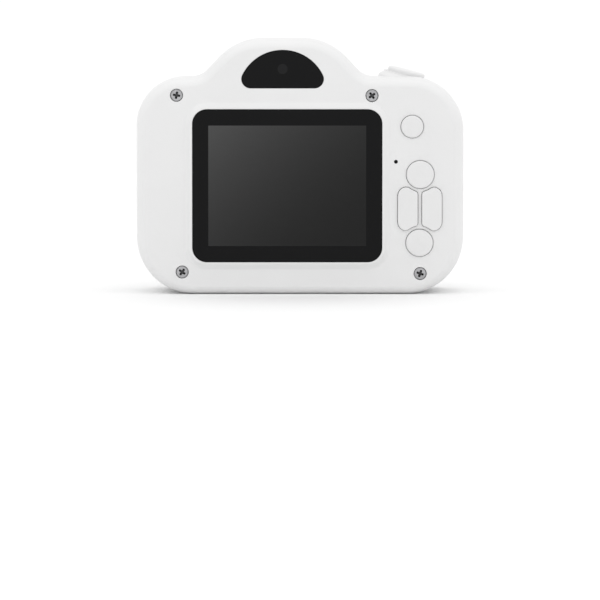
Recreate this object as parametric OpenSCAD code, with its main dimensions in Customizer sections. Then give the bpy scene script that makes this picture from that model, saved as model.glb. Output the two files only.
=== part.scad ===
// Kids digital camera: two moulded shells with a lens cone in front, a screen and five keys behind,
// a tilted shutter button on the shoulder, and the boards, battery and modules inside.
// Frame: +X to the right seen from the lens side, -Y towards the subject, +Z up.
// The origin is on the flat base, under the middle of the body.

/* [Body] */
// Width of the body
body_w = 85; // [83:1:90]
// Height to the top of the viewfinder hump
body_h = 66; // [66:0.5:68]
// Thickness of the body without the lens cone and the screen rim
body_d = 26; // [26:0.5:28]
// Height of the shoulders beside the hump
shoulder_z = 56; // [55.5:0.5:56.5]
// Sideways place of the hump and the selfie window
hump_x = 4.5; // [4:0.5:5]
// Wall thickness of the shells
wall = 1.9; // [1.8:0.1:2]
// Depth at which the two shells meet
seam_y = 3; // [2.9:0.1:3.1]

/* [Lens] */
// Height of the lens axis
lens_z = 27.5; // [27:0.5:28]
// How far the lens cone stands out of the body
cone_len = 14; // [13.8:0.1:14.4]
// Radius of the cone where it leaves the body
cone_base_r = 18.7; // [18.4:0.1:19]
// Radius of the flat front ring
face_r = 15; // [14.8:0.1:15.2]
// Radius of the dark opening in the middle
pupil_r = 6.4; // [6.2:0.1:6.5]

/* [Screen] */
// Width of the cover over the screen
cover_w = 49.1; // [48.8:0.1:49.4]
// Height of the cover over the screen
cover_h = 39.6; // [39.3:0.1:39.9]
// Sideways place of the screen
screen_x = 3.3; // [3.1:0.1:3.5]
// Height of the middle of the screen
screen_z = 28.2; // [28:0.1:28.4]

/* [Controls] */
// Radius of the shutter button
shutter_r = 4.9; // [4.7:0.1:5]
// Travel of the shutter button
shutter_travel = 0.6; // [0.4:0.1:0.6]
// How far the rear keys stand out of the rear face
key_proud = 0.7; // [0.5:0.1:0.9]
// Travel of the rear keys
key_travel = 0.4; // [0.2:0.1:0.4]

/* [Hidden] */
$fn = 64;
half_w = body_w / 2;
back_y = body_d / 2;
front_y = -body_d / 2;
inner_back_y = back_y - wall;
inner_front_y = front_y + wall;

// Outline arcs
base_corner_r = 15;
top_corner_r = [12.6, 14];
hump_flat = 5;
hump_r = 16;
hump_slope = 47;
fillet_r = 6;
rear_edge = [2.2, 3.2];
front_edge = [3, 4];
draft = 2;
lip_len = 1.2;
lip_inset = 1;
lip_gap = 0.08;
seam_gap = 0.05;

// Case screws: [x, z] of each, and their sizes
case_screws_at = [[31.9, 51.6], [-18.6, 51.5], [30.5, 5.8], [-31.1, 5.4]];
screw_head_r = 1.7;
screw_head_y = back_y - 0.35;
screw_head_t = 1.2;
screw_len = 8;
screw_r = 0.95;
post_r = 2.4;
post_end_y = 8;

// Boards, and the depth of each layer
board_y = 6.9;
board_t = 1;
board_back_y = board_y + board_t;
board_x = [-38, 39];
board_z = [9.5, 47.5];
board_screws_at = [[33, 13], [33, 45.7], [-24, 12], [-23.4, 44.2]];
board_screw_r = 0.75;
board_post_r = 1.9;

// Rear keys: [x, z], radius
menu_at = [-29, 43.5];
menu_r = 2.9;
up_at = [-31.1, 31.1];
up_r = 3.58;
down_at = [-30.9, 13.4];
down_r = 3.5;
pad_at = [-31, 22.2];
pad_size = [11.4, 11.3];
pad_corner = 2.2;
pad_gap = 1.1;
pad_bite_r = 4.5;
key_gap = 0.15;
flange_grow = 0.5;
flange_t = 0.9;
mic_at = [-24.8, 34.4];
mic_hole_r = 0.5;

// Screen
cover_r = 3.9;
cover_t = 1;
rim_h = 0.8;
rim_slope = 1.3;
rim_lip = 0.5;
cover_y = back_y + rim_h - 0.2 - cover_t;
glass_gap = 0.1;
lcd_size = [46.4, 35.6];
lcd_lip = 1.5;
clip_size = [1, 2, 14];

// Selfie window
window_top = 63.3;
window_bottom = 53.4;
window_r = 11.6;
window_corner = 2.4;
window_t = 1;
selfie_z = 58.4;
selfie_hole_r = 2.4;
selfie_size = 6.6;
aperture_r = 1.55;

// Lens distances, measured forwards from the middle of the body
face_h = back_y + cone_len;
ring_t = 0.8;
ring_sunk = 0.2;
ring_seat_h = face_h - ring_sunk - ring_t;
front_wall_h = ring_seat_h - 1.8;
cone_round = 1.5;
cone_fillet = 1.6;
cone_top_r = face_r + 0.1 + cone_round;
bezel_r = 9.05;

// Shutter button
shutter_at = [-27.6, -3.4, 56.24];
shutter_tilt = 14.3;
shutter_proud = 1.3;
shutter_edge_r = 0.6;
collar_r = 5.8;
shutter_gap = 0.1;
shutter_wall_z = -4.3;
shutter_flange = [shutter_r + 0.4, 0.7];
shutter_flange_z = -4.85;
shutter_stem = [1.2, -5.7];
collar_z = -3.6;
switch_board_z = -9.2;
switch_board = [11, 9.4];
stake_at = [6.3, 3.4];
stake_r = 1.1;

// Ports on the +X side
usb_z = 23;
usb_y = 6.2;
usb_size = [8.9, 3.2];
usb_x = [34, 41.5];
card_z = 36.5;
card_size = [15, 11, 1];
card_end_x = 41.9;
card_y = board_y - 1;
socket_size = [14, 14.4, 1.9];
lanyard_z = 45;
lanyard_y = -4;
lanyard_r = 1.1;

// Camera module behind the lens: sizes are [x, z], depths are [front, back]
module_size = 8.4;
module_y = [-17.6, -13.6];
module_nose = [3.4, -20.4];
module_pocket = 6.4;
iris_r = 1;
camera_board_size = [14, 15];
camera_board_y = [-13.5, -12.6];
sensor_size = [5.6, 5.2];
sensor_y = [-14.6, -13.55];
flex_t = 0.2;

// Key switches on the boards: the square case, its height and the stem
tact_case = [3.2, 1.3];
tact_stem = [0.8, 1.75];

// Chips on the front of the main board: [x, z, width, height, thickness]
chips = [[-4, 28, 9, 9, 0.9], [10, 30, 6, 5, 0.9], [-6, 13, 4, 5, 1],
    [18, 12, 3, 3, 1.2], [-9, 38.5, 3.2, 2.5, 0.8], [12, 41, 7, 4.6, 1]];

// Inside
battery_size = [25, 5, 34.5];
battery_at = [-37.4, -10.6, 9.6];
speaker_at = [29.2, 18.3];
speaker_r = 8;
magnet_r = 5.2;

// Sound slots: all end on one line at the right, and each is longer than the one above
slot_end = [32.2, 22.15];
slot_pitch = 2.55;
slot_w = 1;
function slot_len(i) = 2.4 + 1.2 * i;

// ---- Outline of the body: points [x, z, normal x, normal z], counter-clockwise from the base ----

function arc_points(c, r, from, to, n, side) =
    [for (i = [0 : n]) let (a = from + (to - from) * i / n)
        [c[0] + r * cos(a), c[1] + r * sin(a), side * cos(a), side * sin(a)]];

// Distance from the hump's middle to the fillet's centre, so that one straight line touches both arcs
fillet_x = hump_flat + (hump_r + fillet_r
    - sin(90 - hump_slope) * (shoulder_z + fillet_r - body_h + hump_r)) / cos(90 - hump_slope);

outline = concat(
    arc_points([half_w - base_corner_r, base_corner_r], base_corner_r, -90, 0, 12, 1),
    arc_points([half_w - top_corner_r[0], shoulder_z - top_corner_r[0]], top_corner_r[0], 0, 90, 12, 1),
    arc_points([hump_x + fillet_x, shoulder_z + fillet_r], fillet_r, -90, -90 - hump_slope, 5, -1),
    arc_points([hump_x + hump_flat, body_h - hump_r], hump_r, 90 - hump_slope, 90, 6, 1),
    arc_points([hump_x - hump_flat, body_h - hump_r], hump_r, 90, 90 + hump_slope, 6, 1),
    arc_points([hump_x - fillet_x, shoulder_z + fillet_r], fillet_r, hump_slope - 90, -90, 5, -1),
    arc_points([top_corner_r[1] - half_w, shoulder_z - top_corner_r[1]], top_corner_r[1], 90, 180, 12, 1),
    arc_points([base_corner_r - half_w, base_corner_r], base_corner_r, 180, 270, 12, 1));

// One loop of the body at depth y, drawn in by inset; the sides and top also slope in by the draft,
// and the base stays flat
function ring(y, inset) = let (slope = abs(y - seam_y) * tan(draft))
    [for (p = outline) let (d = inset + slope * (1 + min(0, p[3])))
        [p[0] - p[2] * d, y, p[1] - p[3] * d]];

// The loops of an edge rounded by [inwards, depthwise] radii, from the side wall to the flat face
function edge_rings(face_y, edge, n) = let (way = sign(face_y))
    [for (i = [0 : n]) let (a = 90 * i / n)
        ring(face_y - way * edge[1] * (1 - sin(a)), edge[0] * (1 - cos(a)))];

function middle(y) = [hump_x, y, body_h / 2];

// A closed skin through a stack of loops, with a fan at each end
module loft(rings, start, end, flip) {
    n = len(outline);
    m = len(rings);
    points = concat([start], [for (r = rings) for (p = r) p], [end]);
    last = len(points) - 1;
    faces = concat(
        [for (i = [0 : n - 1]) [0, 1 + (i + 1) % n, 1 + i]],
        [for (j = [0 : m - 2]) for (i = [0 : n - 1])
            [1 + j * n + i, 1 + j * n + (i + 1) % n, 1 + (j + 1) * n + i]],
        [for (j = [0 : m - 2]) for (i = [0 : n - 1])
            [1 + j * n + (i + 1) % n, 1 + (j + 1) * n + (i + 1) % n, 1 + (j + 1) * n + i]],
        [for (i = [0 : n - 1]) [last, 1 + (m - 1) * n + i, 1 + (m - 1) * n + (i + 1) % n]]);
    polyhedron(points, flip ? faces : [for (f = faces) [f[2], f[1], f[0]]]);
}

// ---- Helpers ----

// A flat drawing in x and z, given thickness from depth y0 to y1
module slab(y0, y1) {
    translate([0, y1, 0])
        rotate([90, 0, 0])
            linear_extrude(y1 - y0)
                children();
}

module rod_y(at, r, y0, y1) {
    translate([at[0], y0, at[1]])
        rotate([-90, 0, 0])
            cylinder(r = r, h = y1 - y0);
}

module round_rect(w, h, r) {
    square([w - 2 * r, h], center = true);
    square([w, h - 2 * r], center = true);
    for (x = [-1, 1])
        for (y = [-1, 1])
            translate([x * (w / 2 - r), y * (h / 2 - r)])
                circle(r);
}

module slot_2d(w, h) {
    square([w - h, h], center = true);
    for (x = [-1, 1])
        translate([x * (w - h) / 2, 0])
            circle(h / 2);
}

// Turned round the lens axis: drawn as [radius, distance forwards]
module lens_turn() {
    translate([hump_x, 0, lens_z])
        rotate([90, 0, 0])
            rotate_extrude()
                children();
}

module at_lens() {
    translate([hump_x, lens_z])
        children();
}

module at_shutter() {
    translate(shutter_at)
        rotate([0, -shutter_tilt, 0])
            children();
}

module at_screen() {
    translate([screen_x, screen_z])
        children();
}

function arc_2d(c, r, from, to, n) =
    [for (i = [0 : n]) let (a = from + (to - from) * i / n) [c[0] + r * cos(a), c[1] + r * sin(a)]];

// Half-moon of the selfie window, grown by g
module window_2d(g) {
    centre_z = window_top - window_r;
    corner_z = window_bottom + window_corner;
    corner_x = sqrt(pow(window_r - window_corner, 2) - pow(corner_z - centre_z, 2));
    a = atan2(corner_z - centre_z, corner_x);
    translate([hump_x, 0])
        polygon(concat(
            arc_2d([corner_x, corner_z], window_corner + g, -90, a, 7),
            arc_2d([0, centre_z], window_r + g, a, 180 - a, 16),
            arc_2d([-corner_x, corner_z], window_corner + g, 180 - a, 270, 7)));
}

// One of the two keys between up and down: side is 1 towards +X and -1 towards -X, grown by g
module pad_2d(side, g) {
    difference() {
        intersection() {
            translate(pad_at)
                round_rect(pad_size[0] + 2 * g, pad_size[1] + 2 * g, pad_corner + g);
            translate([pad_at[0] + side * (pad_gap / 2 - g + pad_size[0] / 2), pad_at[1]])
                square([pad_size[0], 2 * pad_size[1]], center = true);
        }
        translate(up_at)
            circle(pad_bite_r - g);
        translate(down_at)
            circle(pad_bite_r - g);
    }
}

// ---- Shells ----

cone_outer = concat(
    [[0, inner_back_y], [cone_base_r + cone_fillet, inner_back_y]],
    arc_2d([cone_base_r + cone_fillet, back_y + cone_fillet], cone_fillet, 270, 180, 5),
    arc_2d([face_r + 0.1, face_h - cone_round], cone_round, 0, 90, 5),
    [[0, face_h]]);

cone_inner = [
    [0, inner_back_y - 1],
    [cone_base_r - wall, inner_back_y - 1],
    [cone_base_r - wall, back_y],
    [cone_top_r - wall, front_wall_h],
    [0, front_wall_h]];

module front_body() {
    loft(concat(
        [ring(inner_front_y, wall + 1.4), ring(inner_front_y + 1.4, wall),
            ring(seam_y - lip_len - 0.1, wall),
            ring(seam_y - lip_len - 0.1, lip_inset - lip_gap),
            ring(seam_y - seam_gap, lip_inset - lip_gap), ring(seam_y - seam_gap, 0)],
        edge_rings(front_y, front_edge, 6)),
        middle(inner_front_y), middle(front_y), false);
}

// A rounded opening through the wall on the +X side
module side_cut(z, size, y) {
    translate([half_w - 5, y, z])
        rotate([90, 0, 90])
            linear_extrude(6)
                rotate(90)
                    slot_2d(size[0], size[1]);
}

module front_shell() {
    color("whitesmoke")
        difference() {
            union() {
                front_body();
                lens_turn() polygon(cone_outer);
                for (p = case_screws_at)
                    rod_y(p, post_r, inner_front_y - 0.5, post_end_y - 0.05);
                at_shutter()
                    translate([0, 0, collar_z])
                        cylinder(r = collar_r, h = -collar_z);
                at_shutter()
                    translate([0, 0, collar_z])
                        cylinder(r = collar_r + 1, h = 1.2);
                for (y = [-1, 1])
                    at_shutter()
                        translate([-stake_at[0], y * stake_at[1], switch_board_z + board_t])
                            cylinder(r = stake_r, h = -switch_board_z - board_t - 0.9);
                difference() {
                    rod_y(speaker_at, speaker_r + 1.2, inner_front_y - 0.5, inner_front_y + 2.4);
                    rod_y(speaker_at, speaker_r + 0.15, inner_front_y - 1, inner_front_y + 3);
                }
            }
            lens_turn() polygon(cone_inner);
            lens_turn()
                translate([0, front_wall_h - 1])
                    square([bezel_r + 0.05, 4]);
            lens_turn()
                translate([0, ring_seat_h])
                    square([face_r + 0.05, 2]);
            for (p = case_screws_at)
                rod_y(p, screw_r + 0.05, post_end_y - 8, post_end_y + 1);
            at_shutter()
                translate([0, 0, shutter_wall_z])
                    cylinder(r = shutter_r + shutter_gap, h = 2 - shutter_wall_z);
            for (i = [0 : 3])
                translate([slot_end[0] - slot_len(i) / 2, 0, slot_end[1] - slot_pitch * i])
                    slab(front_y - 1, inner_front_y + 0.5)
                        slot_2d(slot_len(i), slot_w);
            for (z = [-2, 2])
                translate([half_w - 5, lanyard_y, lanyard_z + z])
                    rotate([0, 90, 0])
                        cylinder(r = lanyard_r, h = 8);
        }
}

module rear_body() {
    loft(concat(
        [ring(inner_back_y, wall + 1.2), ring(inner_back_y - 1.2, wall),
            ring(seam_y - lip_len, wall), ring(seam_y - lip_len, lip_inset),
            ring(seam_y, lip_inset), ring(seam_y, 0)],
        edge_rings(back_y, rear_edge, 6)),
        middle(inner_back_y), middle(back_y), true);
}

module screen_rim() {
    hull() {
        slab(back_y - 0.5, back_y)
            at_screen() round_rect(cover_w + 2 * (rim_slope + rim_lip),
                cover_h + 2 * (rim_slope + rim_lip), cover_r + rim_slope + rim_lip, $fn = 40);
        slab(back_y, back_y + rim_h)
            at_screen() round_rect(cover_w + 2 * rim_lip, cover_h + 2 * rim_lip,
                cover_r + rim_lip, $fn = 40);
    }
}

module rear_shell() {
    color("whitesmoke")
        difference() {
            union() {
                rear_body();
                screen_rim();
                for (p = case_screws_at)
                    rod_y(p, post_r + 0.4, post_end_y, inner_back_y + 0.5);
                for (p = board_screws_at)
                    rod_y(p, board_post_r, board_back_y, inner_back_y + 0.5);
                for (x = [-1, 1])
                    translate([screen_x + x * (lcd_size[0] / 2 + 0.75), inner_back_y - 0.7, screen_z])
                        cube(clip_size, center = true);
            }
            slab(cover_y, back_y + 3)
                at_screen() round_rect(cover_w + 2 * glass_gap, cover_h + 2 * glass_gap, cover_r);
            slab(inner_back_y - 1, back_y)
                at_screen() round_rect(lcd_size[0] - 2 * lcd_lip, lcd_size[1] - 2 * lcd_lip, 1);
            slab(back_y - window_t, back_y + 1)
                window_2d(glass_gap);
            rod_y([hump_x, selfie_z], selfie_hole_r, inner_back_y - 1, back_y);
            for (p = case_screws_at) {
                rod_y(p, post_r + 0.1, seam_y - lip_len - 1, post_end_y);
                rod_y(p, screw_head_r + 0.25, screw_head_y - screw_head_t, back_y + 1);
                rod_y(p, screw_r + 0.2, post_end_y - 1, back_y);
            }
            for (p = board_screws_at)
                rod_y(p, board_screw_r + 0.05, board_back_y - 1, inner_back_y - 0.2);
            rod_y(menu_at, menu_r + key_gap, inner_back_y - 1, back_y + 1);
            rod_y(up_at, up_r + key_gap, inner_back_y - 1, back_y + 1);
            rod_y(down_at, down_r + key_gap, inner_back_y - 1, back_y + 1);
            for (side = [-1, 1])
                slab(inner_back_y - 1, back_y + 1)
                    pad_2d(side, key_gap);
            rod_y(mic_at, mic_hole_r, inner_back_y - 1, back_y + 1);
            side_cut(usb_z, usb_size + [0.8, 0.8], usb_y);
            side_cut(card_z, [card_size[1] + 1, card_size[2] + 0.9], card_y);
        }
}

// ---- Lens ----

module lens_face_ring() {
    color("white")
        lens_turn()
            translate([bezel_r + 0.1, ring_seat_h])
                square([face_r - bezel_r - 0.1, ring_t]);
}

module lens_bezel() {
    color("white")
        lens_turn()
            polygon([[pupil_r, front_wall_h + 0.1], [bezel_r, front_wall_h + 0.1],
                [bezel_r, face_h - ring_sunk], [bezel_r - 0.4, face_h - ring_sunk],
                [pupil_r, front_wall_h + 0.7]]);
}

module lens_barrel() {
    color("black")
        lens_turn()
            polygon([[pupil_r + 0.8, front_wall_h], [pupil_r + 0.8, front_wall_h - 0.9],
                [pupil_r - 0.4, front_wall_h - 0.9], [pupil_r - 0.4, front_wall_h - 2.5],
                [pupil_r - 1.4, front_wall_h - 2.5], [pupil_r - 1.4, front_wall_h - 4],
                [pupil_r - 0.3, front_wall_h - 4], [pupil_r - 0.3, 13.6], [8.2, 13.6],
                [8.2, front_wall_h - 2], [12, front_wall_h - 2], [12, front_wall_h]]);
}

module lens_window() {
    color("dimgray", 0.5)
        lens_turn()
            translate([0, front_wall_h - 0.85])
                square([pupil_r + 0.75, 0.8]);
}

module camera_holder() {
    color("black")
        difference() {
            union() {
                slab(module_y[0], module_y[1])
                    at_lens() square(module_size, center = true);
                rod_y([hump_x, lens_z], module_nose[0], module_nose[1], module_y[0] + 0.6);
            }
            rod_y([hump_x, lens_z], aperture_r, module_nose[1] - 1, module_y[0] - 1);
            slab(module_y[1] - 1.8, module_y[1] + 1)
                at_lens() square(module_pocket, center = true);
            rod_y([hump_x, lens_z], iris_r, module_nose[1] - 1, module_y[1]);
        }
}

// Half section of a small lens that fits an aperture, with its domed face on top
module lens_profile(side, top) {
    r = aperture_r - 0.05;
    dome_r = (r * r + pow(top - side, 2)) / (2 * (top - side));
    polygon(concat([[0, 0], [r, 0]],
        arc_2d([0, top - dome_r], dome_r, acos(r / dome_r), 90, 6)));
}

module camera_lens() {
    color("slategray", 0.6)
        lens_turn()
            translate([0, -module_nose[1] - 1.7])
                lens_profile(1.2, 1.77);
}

module camera_board() {
    color("darkgreen")
        slab(camera_board_y[0], camera_board_y[1])
            at_lens() square(camera_board_size, center = true);
}

module image_sensor() {
    color("silver")
        slab(sensor_y[0], sensor_y[1])
            at_lens() square(sensor_size, center = true);
}

module camera_flex() {
    color("orange")
        slab(camera_board_y[1] + 0.1, board_y - 0.05)
            at_lens()
                translate([0, -camera_board_size[1] / 2 + 0.9])
                    square([camera_board_size[0] / 2, flex_t], center = true);
}

// ---- Screen ----

module screen_cover() {
    color("black")
        slab(cover_y, cover_y + cover_t)
            at_screen() round_rect(cover_w, cover_h, cover_r - 0.1);
}

module lcd_panel() {
    color("darkslategray")
        slab(inner_back_y - 1.15, inner_back_y - 0.15)
            at_screen() square(lcd_size - [2.2, 2.2], center = true);
}

module lcd_frame() {
    color("ivory")
        difference() {
            slab(inner_back_y - 2.2, inner_back_y - 0.1)
                at_screen() square(lcd_size, center = true);
            slab(inner_back_y - 1.2, inner_back_y)
                at_screen() square(lcd_size - [2, 2], center = true);
        }
}

module lcd_flex() {
    flex_x = screen_x + lcd_size[0] / 2 + 0.05;
    color("orange")
        translate([0, 0, screen_z - 14]) {
            translate([flex_x, 9.6, 0])
                cube([2.2, 0.2, 6]);
            translate([flex_x + 2, board_back_y, 0])
                cube([0.2, 1.8, 6]);
            translate([flex_x + 2, board_back_y, 0])
                cube([2.5, 0.2, 6]);
        }
}

// ---- Selfie camera ----

module selfie_window() {
    color("black")
        slab(back_y - window_t, back_y - 0.05)
            window_2d(0);
}

module selfie_camera() {
    color("black")
        difference() {
            translate([hump_x, inner_back_y - 2.1, selfie_z])
                cube([selfie_size, 4, selfie_size], center = true);
            rod_y([hump_x, selfie_z], aperture_r, inner_back_y - 1.6, back_y);
        }
}

module selfie_lens() {
    color("slategray", 0.6)
        translate([hump_x, 0, selfie_z])
            rotate([-90, 0, 0])
                rotate_extrude()
                    translate([0, inner_back_y - 1.55])
                        lens_profile(0.7, 1.16);
}

module selfie_flex() {
    color("orange")
        translate([hump_x - 2.5, board_back_y, board_z[1] - 1.2])
            cube([5, 0.15, selfie_z - selfie_size / 2 - 0.1 - board_z[1] + 1.2]);
}

// ---- Boards ----

module main_board() {
    color("darkgreen")
        difference() {
            slab(board_y, board_back_y - 0.02)
                translate([(board_x[0] + board_x[1]) / 2, (board_z[0] + board_z[1]) / 2])
                    round_rect(board_x[1] - board_x[0], board_z[1] - board_z[0], 5);
            for (p = board_screws_at)
                rod_y(p, 1, board_y - 1, board_back_y + 1);
            slab(board_y - 1, board_back_y + 1)
                translate([board_x[1], usb_z])
                    square([2 * (board_x[1] - usb_x[0] + 0.2), usb_size[0] + 0.4], center = true);
        }
}

module board_chips() {
    color("dimgray")
        for (c = chips)
            translate([c[0], board_y - c[4] - 0.02, c[1]])
                cube([c[2], c[4], c[3]]);
}

module tact(at) {
    slab(board_back_y, board_back_y + tact_case[1])
        translate(at)
            square(tact_case[0], center = true);
    rod_y(at, tact_stem[0], board_back_y + 1, board_back_y + tact_stem[1]);
}

module key_switches() {
    color("silver") {
        tact(menu_at);
        tact(up_at);
        tact(down_at);
        for (side = [-1, 1])
            tact([pad_at[0] + side * (pad_size[0] + pad_gap / 2) / 4, pad_at[1]]);
    }
}

module shutter_board() {
    color("darkgreen")
        at_shutter()
            translate([3 - switch_board[0], -switch_board[1] / 2, switch_board_z])
                cube([switch_board[0], switch_board[1], board_t - 0.05]);
}

module shutter_switch() {
    color("silver")
        at_shutter() {
            translate([-1.8, -1.8, switch_board_z + board_t])
                cube([3.6, 3.6, 1.3]);
            translate([0, 0, -7])
                cylinder(r = 0.9, h = 0.6);
        }
}

// ---- Controls ----

module shutter_button() {
    color("whitesmoke")
        at_shutter()
            rotate_extrude()
                polygon(concat(
                    [[0, shutter_stem[1]], shutter_stem, [shutter_stem[0], shutter_flange_z],
                        [shutter_flange[0], shutter_flange_z],
                        [shutter_flange[0], shutter_flange_z + shutter_flange[1]],
                        [shutter_r, shutter_flange_z + shutter_flange[1]]],
                    arc_2d([shutter_r - shutter_edge_r, shutter_proud - shutter_edge_r - 0.25],
                        shutter_edge_r, 0, 75, 4),
                    [[0, shutter_proud]]));
}

key_top_y = back_y + key_proud;
key_back_y = inner_back_y - 0.1 - flange_t;

module round_key(at, r) {
    color("whitesmoke") {
        rod_y(at, r, inner_back_y - 0.2, key_top_y);
        rod_y(at, r + flange_grow, key_back_y, inner_back_y - 0.1);
    }
}

module pad_key(side) {
    color("whitesmoke") {
        slab(key_back_y, key_top_y)
            pad_2d(side, 0);
        translate([pad_at[0] + side * (pad_size[0] / 2 - 0.2), key_back_y + flange_t / 2, pad_at[1]])
            cube([1.6, flange_t, 6], center = true);
    }
}

module menu_key() {
    round_key(menu_at, menu_r);
}

module up_key() {
    round_key(up_at, up_r);
}

module down_key() {
    round_key(down_at, down_r);
}

// Seen from behind, left is towards +X
module left_key() {
    pad_key(1);
}

module right_key() {
    pad_key(-1);
}

// ---- Sound, power and ports ----

module microphone() {
    color("silver")
        rod_y(mic_at, 2, board_back_y, board_back_y + 1.5);
}

module speaker() {
    color("dimgray")
        difference() {
            union() {
                rod_y(speaker_at, speaker_r, inner_front_y + 0.1, inner_front_y + 2.6);
                rod_y(speaker_at, magnet_r, inner_front_y + 2.5, inner_front_y + 4);
            }
            rod_y(speaker_at, speaker_r - 1, inner_front_y, inner_front_y + 1.2);
        }
}

module speaker_cone() {
    color("black")
        rod_y(speaker_at, speaker_r - 1.1, inner_front_y + 0.5, inner_front_y + 0.8);
}

module speaker_wires() {
    color("red")
        for (x = [-2, 2])
            rod_y([speaker_at[0] + x, speaker_at[1]], 0.45, inner_front_y + 4.05, board_y - 0.05);
}

module battery() {
    color("silver")
        translate(battery_at)
            cube(battery_size);
}

module battery_pad() {
    color("gray")
        translate(battery_at + [3, -0.45, 4])
            cube([battery_size[0] - 6, 0.4, battery_size[2] - 8]);
}

module battery_wires() {
    wire_x = battery_at[0] + battery_size[0];
    wire_y = battery_at[1] + battery_size[1] / 2;
    color("red")
        for (z = [31, 33.5]) {
            translate([wire_x + 0.05, wire_y, z])
                rotate([0, 90, 0])
                    cylinder(r = 0.5, h = 1.8);
            translate([wire_x + 1.85, wire_y, z])
                sphere(0.5);
            rod_y([wire_x + 1.85, z], 0.5, wire_y, board_y - 0.05);
        }
}

module usb_port() {
    color("silver") {
        difference() {
            translate([usb_x[0], usb_y, usb_z])
                rotate([90, 0, 90])
                    linear_extrude(usb_x[1] - usb_x[0])
                        rotate(90)
                            slot_2d(usb_size[0], usb_size[1]);
            translate([usb_x[0] + 1, usb_y, usb_z])
                rotate([90, 0, 90])
                    linear_extrude(usb_x[1] - usb_x[0])
                        rotate(90)
                            slot_2d(usb_size[0] - 0.6, usb_size[1] - 0.6);
        }
        translate([usb_x[0] + 0.5, usb_y - 0.35, usb_z - 3.3])
            cube([usb_x[1] - usb_x[0] - 1.2, 0.7, 6.6]);
    }
}

module card_socket() {
    color("silver")
        difference() {
            translate([card_end_x - card_size[0] - 1, board_y - socket_size[2] - 0.05,
                    card_z - socket_size[1] / 2])
                cube([socket_size[0], socket_size[2], socket_size[1]]);
            translate([card_end_x - card_size[0] - 0.2, card_y - card_size[2] / 2 - 0.15,
                    card_z - card_size[1] / 2 - 0.15])
                cube([card_size[0] + 1, card_size[2] + 0.3, card_size[1] + 0.3]);
        }
}

module memory_card() {
    color("black")
        translate([card_end_x - card_size[0], card_y - card_size[2] / 2, card_z - card_size[1] / 2])
            cube([card_size[0], card_size[2], card_size[1]]);
}

// ---- Screws ----

module pan_screw(at, head_y, head_r, head_t, r, len) {
    difference() {
        union() {
            rod_y(at, head_r, head_y - head_t, head_y);
            rod_y(at, r, head_y - head_t - len, head_y - head_t + 0.1);
        }
        for (turn = [0, 90])
            translate([at[0], head_y, at[1]])
                rotate([0, 45 + turn, 0])
                    cube([head_r * 1.2, 1.2, 0.4], center = true);
    }
}

module case_screws() {
    color("silver")
        for (p = case_screws_at)
            pan_screw(p, screw_head_y, screw_head_r, screw_head_t, screw_r, screw_len);
}

// These go in from the board's front face, with their heads towards the lens
module board_screws() {
    color("silver")
        for (p = board_screws_at) {
            rod_y(p, 1.6, board_y - 0.95, board_y - 0.05);
            rod_y(p, board_screw_r, board_y - 0.1, board_back_y + 2.5);
        }
}

front_shell();
rear_shell();
lens_face_ring();
lens_bezel();
lens_barrel();
lens_window();
camera_holder();
camera_lens();
camera_board();
image_sensor();
camera_flex();
screen_cover();
lcd_panel();
lcd_frame();
lcd_flex();
selfie_window();
selfie_camera();
selfie_lens();
selfie_flex();
main_board();
board_chips();
key_switches();
shutter_board();
shutter_switch();
shutter_button();
menu_key();
up_key();
down_key();
left_key();
right_key();
microphone();
speaker();
speaker_cone();
speaker_wires();
battery();
battery_pad();
battery_wires();
usb_port();
card_socket();
memory_card();
case_screws();
board_screws();
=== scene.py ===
"""Looks of the kids digital camera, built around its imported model.

The shells, lens, screen, keys, screws and card are rebuilt as fine meshes in the places that the
frame gives, and every other node keeps its shape and gets a material.
"""

from math import acos, atan2, copysign, cos, degrees, hypot, pi, radians, sin, sqrt, tan

import bmesh
import bpy
import numpy as np
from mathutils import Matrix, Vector
from mathutils.geometry import delaunay_2d_cdt


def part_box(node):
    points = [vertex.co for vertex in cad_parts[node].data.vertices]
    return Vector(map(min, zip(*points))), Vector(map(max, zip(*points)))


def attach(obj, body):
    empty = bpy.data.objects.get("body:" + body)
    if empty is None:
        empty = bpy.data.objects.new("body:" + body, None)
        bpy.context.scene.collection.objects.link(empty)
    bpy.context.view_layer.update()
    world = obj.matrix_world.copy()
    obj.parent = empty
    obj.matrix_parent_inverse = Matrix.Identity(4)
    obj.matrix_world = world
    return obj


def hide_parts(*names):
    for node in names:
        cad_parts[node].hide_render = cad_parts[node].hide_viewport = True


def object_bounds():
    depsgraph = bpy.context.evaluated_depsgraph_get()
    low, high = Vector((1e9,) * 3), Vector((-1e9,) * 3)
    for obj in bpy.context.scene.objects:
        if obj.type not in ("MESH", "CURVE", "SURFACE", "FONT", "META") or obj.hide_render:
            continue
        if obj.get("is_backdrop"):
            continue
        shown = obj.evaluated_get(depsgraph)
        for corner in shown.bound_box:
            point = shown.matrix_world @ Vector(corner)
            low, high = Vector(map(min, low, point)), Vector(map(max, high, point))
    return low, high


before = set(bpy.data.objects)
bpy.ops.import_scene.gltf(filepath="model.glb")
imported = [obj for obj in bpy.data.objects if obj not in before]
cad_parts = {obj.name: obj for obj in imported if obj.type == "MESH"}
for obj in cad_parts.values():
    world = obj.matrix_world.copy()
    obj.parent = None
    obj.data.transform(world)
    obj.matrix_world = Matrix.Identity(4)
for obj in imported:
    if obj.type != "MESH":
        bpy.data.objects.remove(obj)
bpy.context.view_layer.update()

MM = 0.001


def box_mm(node):
    """Lowest and highest corner of a node, in millimetres."""
    low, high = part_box(node)
    return low / MM, high / MM


def middle_mm(node):
    low, high = box_mm(node)
    return (low + high) / 2


def size_mm(node):
    low, high = box_mm(node)
    return high - low


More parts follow.
